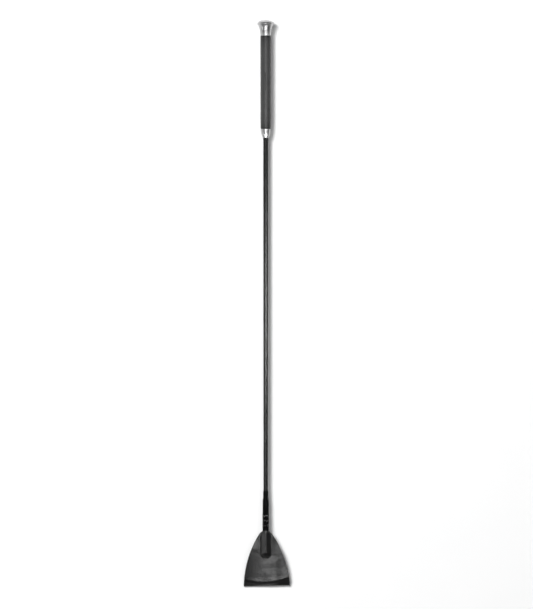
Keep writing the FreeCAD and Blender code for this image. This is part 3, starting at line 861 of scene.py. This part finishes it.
def make_flap():
    """One leather with a closed surface: front ply, fold and back ply, outside and inside."""
    groove_width, opens_before_end, opens_over = 0.55, 12, 10
    unwraps_from, unwraps_over, half_wrap = -1.6, 4.2, math.radians(87)
    clearance, skived, thickening, thickens_over = 0.07, 0.08, 0.52, 8
    fold_rows, lining_shift, bend_length = 12, 300, 20
    x, d = flap_grid()
    base = askew(np.stack([x, core(x, d), SHOULDER + d], axis=2), d)
    normal = core_normals(x, d)

    from_edge = np.minimum(half_width(d) - np.abs(x), BEVEL)
    bevel = BEVEL - np.sqrt(np.maximum(BEVEL**2 - (BEVEL - from_edge) ** 2, 0))
    pressed = GROOVE * bell(stitch_distance(x, d), groove_width)
    opening = (FOLD_GAP - PLY_CLEARANCE) * smooth((d - FLAP_LENGTH + opens_before_end) / opens_over)
    inside = tent(x, d) + opening
    outer = inside + PLY - bevel - pressed

    # In the neck each ply is a thin half sleeve round the shaft, which opens into the flap's shoulder.
    sleeve = 1 - smooth((d - unwraps_from) / unwraps_over)
    turn = x / half_width(d) * half_wrap
    neck_in = ROD_TIP_R + clearance
    neck_out = neck_in + skived + thickening * smooth((d - NECK_D) / thickens_over)

    def ply_points(offset, neck_r, side):
        flat = base + normal * (side * offset)[..., None]
        wrapped = np.stack([neck_r * np.sin(turn), side * neck_r * np.cos(turn), SHOULDER + d], axis=2)
        return flat + (wrapped - flat) * sleeve[..., None]

    front_out, back_out = (ply_points(outer, neck_out, side) for side in (1, -1))
    front_in, back_in = (ply_points(inside, neck_in, side) for side in (1, -1))

    turns = np.linspace(0, math.pi, fold_rows + 2)[1:-1]
    onward = np.cross(np.array([1.0, 0, 0]), normal[-1])

    def fold(radius):
        return np.stack([
            base[-1] + (math.cos(a) * normal[-1] + math.sin(a) * onward) * radius[-1][:, None]
            for a in turns
        ])

    outside = np.concatenate([front_out, fold(outer), back_out[::-1]])
    lining = np.concatenate([front_in, fold(inside), back_in[::-1]])
    points = np.concatenate([outside.reshape(-1, 3), lining.reshape(-1, 3)])
    run = np.concatenate([d[:, 0], FLAP_LENGTH - FOLD_R + turns * FOLD_R, 2 * FLAP_LENGTH - d[::-1, 0]])
    u = np.concatenate([x, np.repeat(x[-1:], len(turns), axis=0), x[::-1]])
    places = np.stack([u, np.broadcast_to(run[:, None], u.shape)], axis=2).reshape(-1, 2)
    shape = Shape()
    shape.add(points, two_sided_faces(*outside.shape[:2]), np.concatenate([places, places + lining_shift]))
    flap = shape.make("leather_flap", LEATHER, "leather")
    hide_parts("flap_front_tongue", "flap_back_tongue", "flap_blade")
    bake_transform(flap)


def make_stitches():
    """The U of lock stitches: a two-ply loop in its sunken groove for each stitch, on both faces."""
    usual_pitch, pause, radius, twist = 2.1, 0.08, 0.3, 1.9
    sunk, arch_height, points_each = 0.35, 0.62, 15
    shape = Shape()
    leg = STITCH_END - STITCH_START
    total = 2 * leg + math.pi * STITCH_X
    count = round(total / usual_pitch)
    pitch = total / count
    for face in (1, -1):
        for i in range(count):
            along = np.linspace(i + pause, i + 1 - pause, points_each) * pitch
            on_left, on_right = along < leg, along > total - leg
            swept = (along - leg) / STITCH_X
            x = np.where(on_left, -STITCH_X, np.where(on_right, STITCH_X, -STITCH_X * np.cos(swept)))
            d = np.where(
                on_left, STITCH_START + along,
                np.where(on_right, STITCH_START + total - along, STITCH_END + STITCH_X * np.sin(swept)),
            )
            arch = np.sin(math.pi * np.linspace(0, 1, points_each)) ** 0.5
            groove_floor = tent(x, d) + PLY - GROOVE
            h = core(x, d) + face * (groove_floor - sunk + arch_height * arch)
            centres = askew(np.stack([x, h, SHOULDER + d], axis=1), d)
            out = np.tile([0.0, face, 0.0], (len(x), 1))
            cord_strand(shape, centres, out, radius, twist, plies=2)
    piece = shape.make("pocket_stitches", SEWING, "stitch_thread")
    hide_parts("pocket_stitching")
    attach(piece, "crop")


# ---- Inner pieces ----

def finish_inner_pieces():
    """The rod, its former and its tip keep their CAD shape, and get materials of their own."""
    for node, finish in (
        ("core_rod", glass_fibre()),
        ("grip_core_tube", black_moulding("former_moulding", 0.3)),
        ("rod_tip_cap", BLACK),
    ):
        materials = frame["nodes"][node].data.materials
        materials.clear()
        materials.append(finish)


# ---- Studio ----

def area_light(name, place, aim, size, radiance, glossy, spread=180):
    """A rectangular light of a given brightness (1 is about the floor's own), facing a point.

    A glossy one only shows as a reflection, and any other only lights and casts shadows. One with a
    spread under 180 degrees has a grid over it, and is only seen from nearly straight in front.
    """
    data = bpy.data.lights.new(name, "AREA")
    data.shape = "RECTANGLE"
    data.size, data.size_y = size
    half = math.radians(spread) / 2
    gain = math.tan(half) / (math.tan(half) - half) if spread < 180 else 1
    data.spread = 2 * half
    data.energy = radiance * math.pi * size[0] * size[1] / gain
    lamp = bpy.data.objects.new(name, data)
    bpy.context.scene.collection.objects.link(lamp)
    lamp.location = place
    lamp.rotation_euler = (Vector(aim) - Vector(place)).to_track_quat("-Z", "Y").to_euler()
    lamp.visible_glossy = glossy
    lamp.visible_diffuse = not glossy
    lamp.visible_camera = False


def make_floor():
    """A pale floor that reaches the horizon, a hair below the crop so that the two never flicker."""
    reach, drop = 12.0, 0.0002
    corners = [(-reach, -reach, 0), (reach, -reach, 0), (reach, reach, 0), (-reach, reach, 0)]
    mesh = bpy.data.meshes.new("floor")
    mesh.from_pydata(corners, [], [(0, 1, 2, 3)])
    mesh.materials.append(studio_floor())
    floor = bpy.data.objects.new("floor", mesh)
    floor.location.z = -drop
    bpy.context.scene.collection.objects.link(floor)


def make_lights():
    """A soft key from the upper left that casts the shadow, a wide fill, and softboxes for the gloss."""
    area_light("key", (-1.2, 1.2, 2.9), (0, -0.02, 0), (1.15, 1.15), 29.0, False)
    area_light("fill", (0, -0.1, 2.2), (0, -0.1, 0), (3.0, 3.0), 1.15, False)
    area_light("handle_strip", (0.12, 0.45, 1.6), (0.12, 0.45, 0), (0.5, 0.34), 3.8, True)
    area_light("cap_card", (0.06, 0.05, 0.4), (0.06, 0.31, 0.01), (0.28, 0.4), 3.0, True, 90)
    area_light("shaft_strip", (0.06, -0.025, 0.3), (0.0, -0.025, 0), (0.05, 0.46), 120.0, True, 90)
    area_light("neck_strip", (0.04, -0.225, 0.3), (0.0, -0.225, 0), (0.05, 0.06), 8.0, True, 50)
    area_light("flap_strip", (-0.095, -0.67, 1.6), (-0.095, -0.67, 0), (0.33, 0.36), 14.5, True)
    area_light("flap_left_box", (-1.3, -0.45, 0.65), (0, -0.32, 0), (0.5, 0.7), 2.2, True)
    area_light("handle_box", (0.02, 0.45, 1.62), (0.02, 0.45, 0), (1.25, 1.0), 2.8, True)
    area_light("handle_right_box", (1.45, 0.42, 1.4), (0, 0.3, 0), (0.4, 1.0), 5.0, True, 32)
    area_light("handle_right_card", (1.5, 0.55, 0.35), (0, 0.4, 0.1), (0.4, 0.7), 2.0, True, 40)
    area_light("handle_left_card", (-1.4, 0.5, 0.65), (0, 0.4, 0.1), (0.6, 1.2), 1.4, True)


def make_world():
    """A dim room, a little brighter near the horizon, behind a plain white backdrop."""
    world = bpy.data.worlds.new("studio")
    world.use_nodes = True
    nodes, links = world.node_tree.nodes, world.node_tree.links
    split = nodes.new("ShaderNodeSeparateXYZ")
    links.new(nodes.new("ShaderNodeTexCoord").outputs["Generated"], split.inputs["Vector"])
    room = nodes.new("ShaderNodeMapRange")
    links.new(split.outputs["Z"], room.inputs["Value"])
    for socket, value in (("From Min", 0.0), ("From Max", 0.75), ("To Min", 0.12), ("To Max", 0.03)):
        room.inputs[socket].default_value = value
    backdrop = nodes.new("ShaderNodeMath")
    backdrop.operation = "MAXIMUM"
    links.new(room.outputs["Result"], backdrop.inputs[0])
    links.new(nodes.new("ShaderNodeLightPath").outputs["Is Camera Ray"], backdrop.inputs[1])
    links.new(backdrop.outputs["Value"], nodes["Background"].inputs["Strength"])
    nodes["Background"].inputs["Color"].default_value = (0.96, 0.98, 1.0, 1)
    bpy.context.scene.world = world
    bpy.context.scene.view_settings.view_transform = "Standard"


def make_camera():
    """Straight down on the crop through a long lens, with the cap at the top of the picture."""
    picture_height, distance = 0.7011, 10.0
    right_shift, down_shift = 0.0009, 0.0018
    data = bpy.data.cameras.new("camera")
    data.sensor_width = 36.0
    data.lens = data.sensor_width * distance / picture_height
    data.clip_end = 50
    camera = bpy.data.objects.new("camera", data)
    camera.location = (right_shift, -down_shift, distance + AXIS_Z)
    camera.rotation_euler = (0, 0, 0)
    bpy.context.scene.collection.objects.link(camera)
    bpy.context.scene.camera = camera


make_end_cap()
make_ring("cap_washer_ring", "cap_washer", WASHER_START, WASHER_END, WASHER_R, FORMER_R, 0.15)
make_grip()
make_ring("grip_lower_ring", "grip_end_ring", RING_START, RING_END, RING_R, FORMER_R, 0.25)
make_ferrule()
# Painted shade: a thin black ring drawn where the ferrule's mouth casts shade onto the shaft.
make_ring("ferrule_mouth_shade_ring", "ferrule_seal", SHADE_RING_START, SHADE_RING_END, SHADE_RING_R, SHADE_RING_R - SHADE_RING_WALL, 0.2)
make_shaft()
make_neck()
make_lashing()
make_flap()
make_stitches()
finish_inner_pieces()
make_floor()
make_lights()
make_world()
make_camera()
